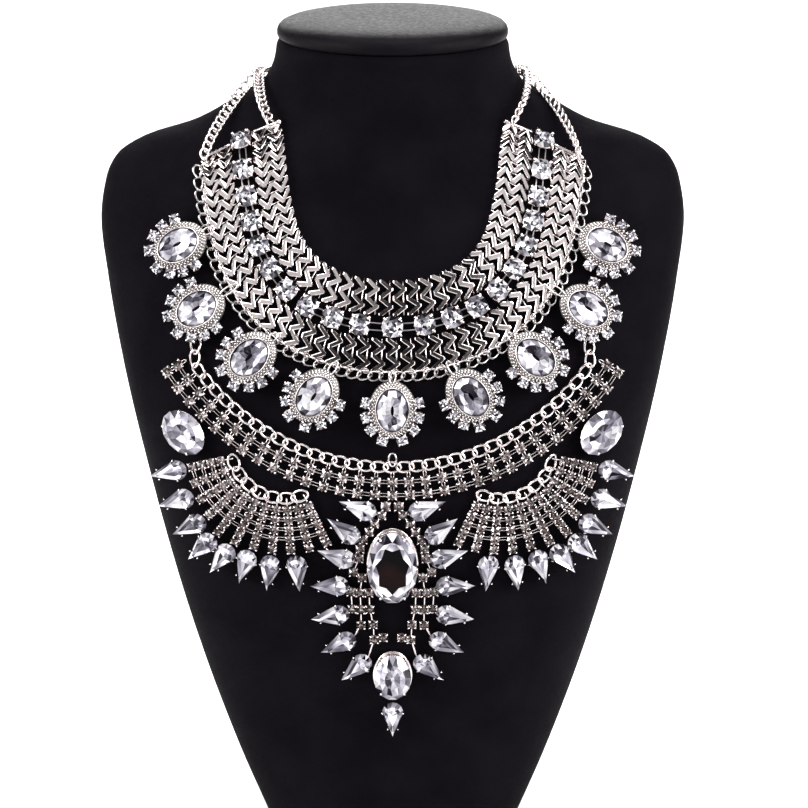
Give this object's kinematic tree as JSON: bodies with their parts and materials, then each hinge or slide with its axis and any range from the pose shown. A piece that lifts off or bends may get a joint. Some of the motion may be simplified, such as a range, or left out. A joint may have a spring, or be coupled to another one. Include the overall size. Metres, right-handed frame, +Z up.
{
  "type": "statement bib necklace on a plain neck bust",
  "caption": "Wide bib necklace of flat link bands, claw-set crystals, oval medallions, rhinestone net, fans and pointed drops, shown on a plain dark neck bust.",
  "frame": {"origin": "under the middle of the whole thing, on the surface that the bust stands on", "axes": "+Z up, +X to the viewer's right when the bust is seen from the front, the chest faces -Y"},
  "size_m": [0.2324, 0.1308, 0.3359],
  "materials": {
    "bust_leather": "black grained leatherette with a soft satin sheen",
    "white_metal": "rhodium-coloured plated zinc alloy, bright, slightly worn and darker in the recesses",
    "crystal": "clear foil-backed faceted acrylic stones, mirror bright with dark facets",
    "small_stones": "clear foil-backed rhinestones in bright claw cups"
  },
  "bodies": {
    "root": {"neck_bust": "bust_leather", "neck_cap": "bust_leather", "collar_strap_inner": "white_metal", "collar_strap_outer": "white_metal", "collar_crystals_left": "small_stones", "collar_crystals_front": "small_stones", "collar_crystals_right": "small_stones", "edge_chain": "white_metal", "medallion_front": "white_metal", "medallion_right_1": "white_metal", "medallion_right_2": "white_metal", "medallion_right_3": "white_metal", "medallion_right_4": "white_metal", "medallion_left_1": "white_metal", "medallion_left_2": "white_metal", "medallion_left_3": "white_metal", "medallion_left_4": "white_metal", "swag_chain": "white_metal", "stone_net": "small_stones", "fan_drop_right_1": "crystal", "fan_drop_right_2": "crystal", "fan_drop_right_3": "crystal", "fan_drop_right_4": "crystal", "fan_drop_right_5": "crystal", "fan_drop_right_6": "crystal", "fan_drop_right_7": "crystal", "fan_drop_right_8": "crystal", "fan_drop_left_1": "crystal", "fan_drop_left_2": "crystal", "fan_drop_left_3": "crystal", "fan_drop_left_4": "crystal", "fan_drop_left_5": "crystal", "fan_drop_left_6": "crystal", "fan_drop_left_7": "crystal", "fan_drop_left_8": "crystal", "pendant_drop_right_1": "crystal", "pendant_drop_right_2": "crystal", "pendant_drop_right_3": "crystal", "pendant_drop_right_4": "crystal", "pendant_drop_right_5": "crystal", "pendant_drop_right_6": "crystal", "pendant_drop_right_7": "crystal", "pendant_drop_left_1": "crystal", "pendant_drop_left_2": "crystal", "pendant_drop_left_3": "crystal", "pendant_drop_left_4": "crystal", "pendant_drop_left_5": "crystal", "pendant_drop_left_6": "crystal", "pendant_drop_left_7": "crystal", "foot_drop": "crystal", "fan_left": "small_stones", "fan_right": "small_stones", "centre_oval": "crystal", "foot_oval": "crystal", "side_oval_right": "crystal", "side_oval_left": "crystal", "pendant_frame": "small_stones", "neck_chain_left": "white_metal", "neck_chain_right": "white_metal", "clasp": "white_metal"}
  },
  "joints": []
}
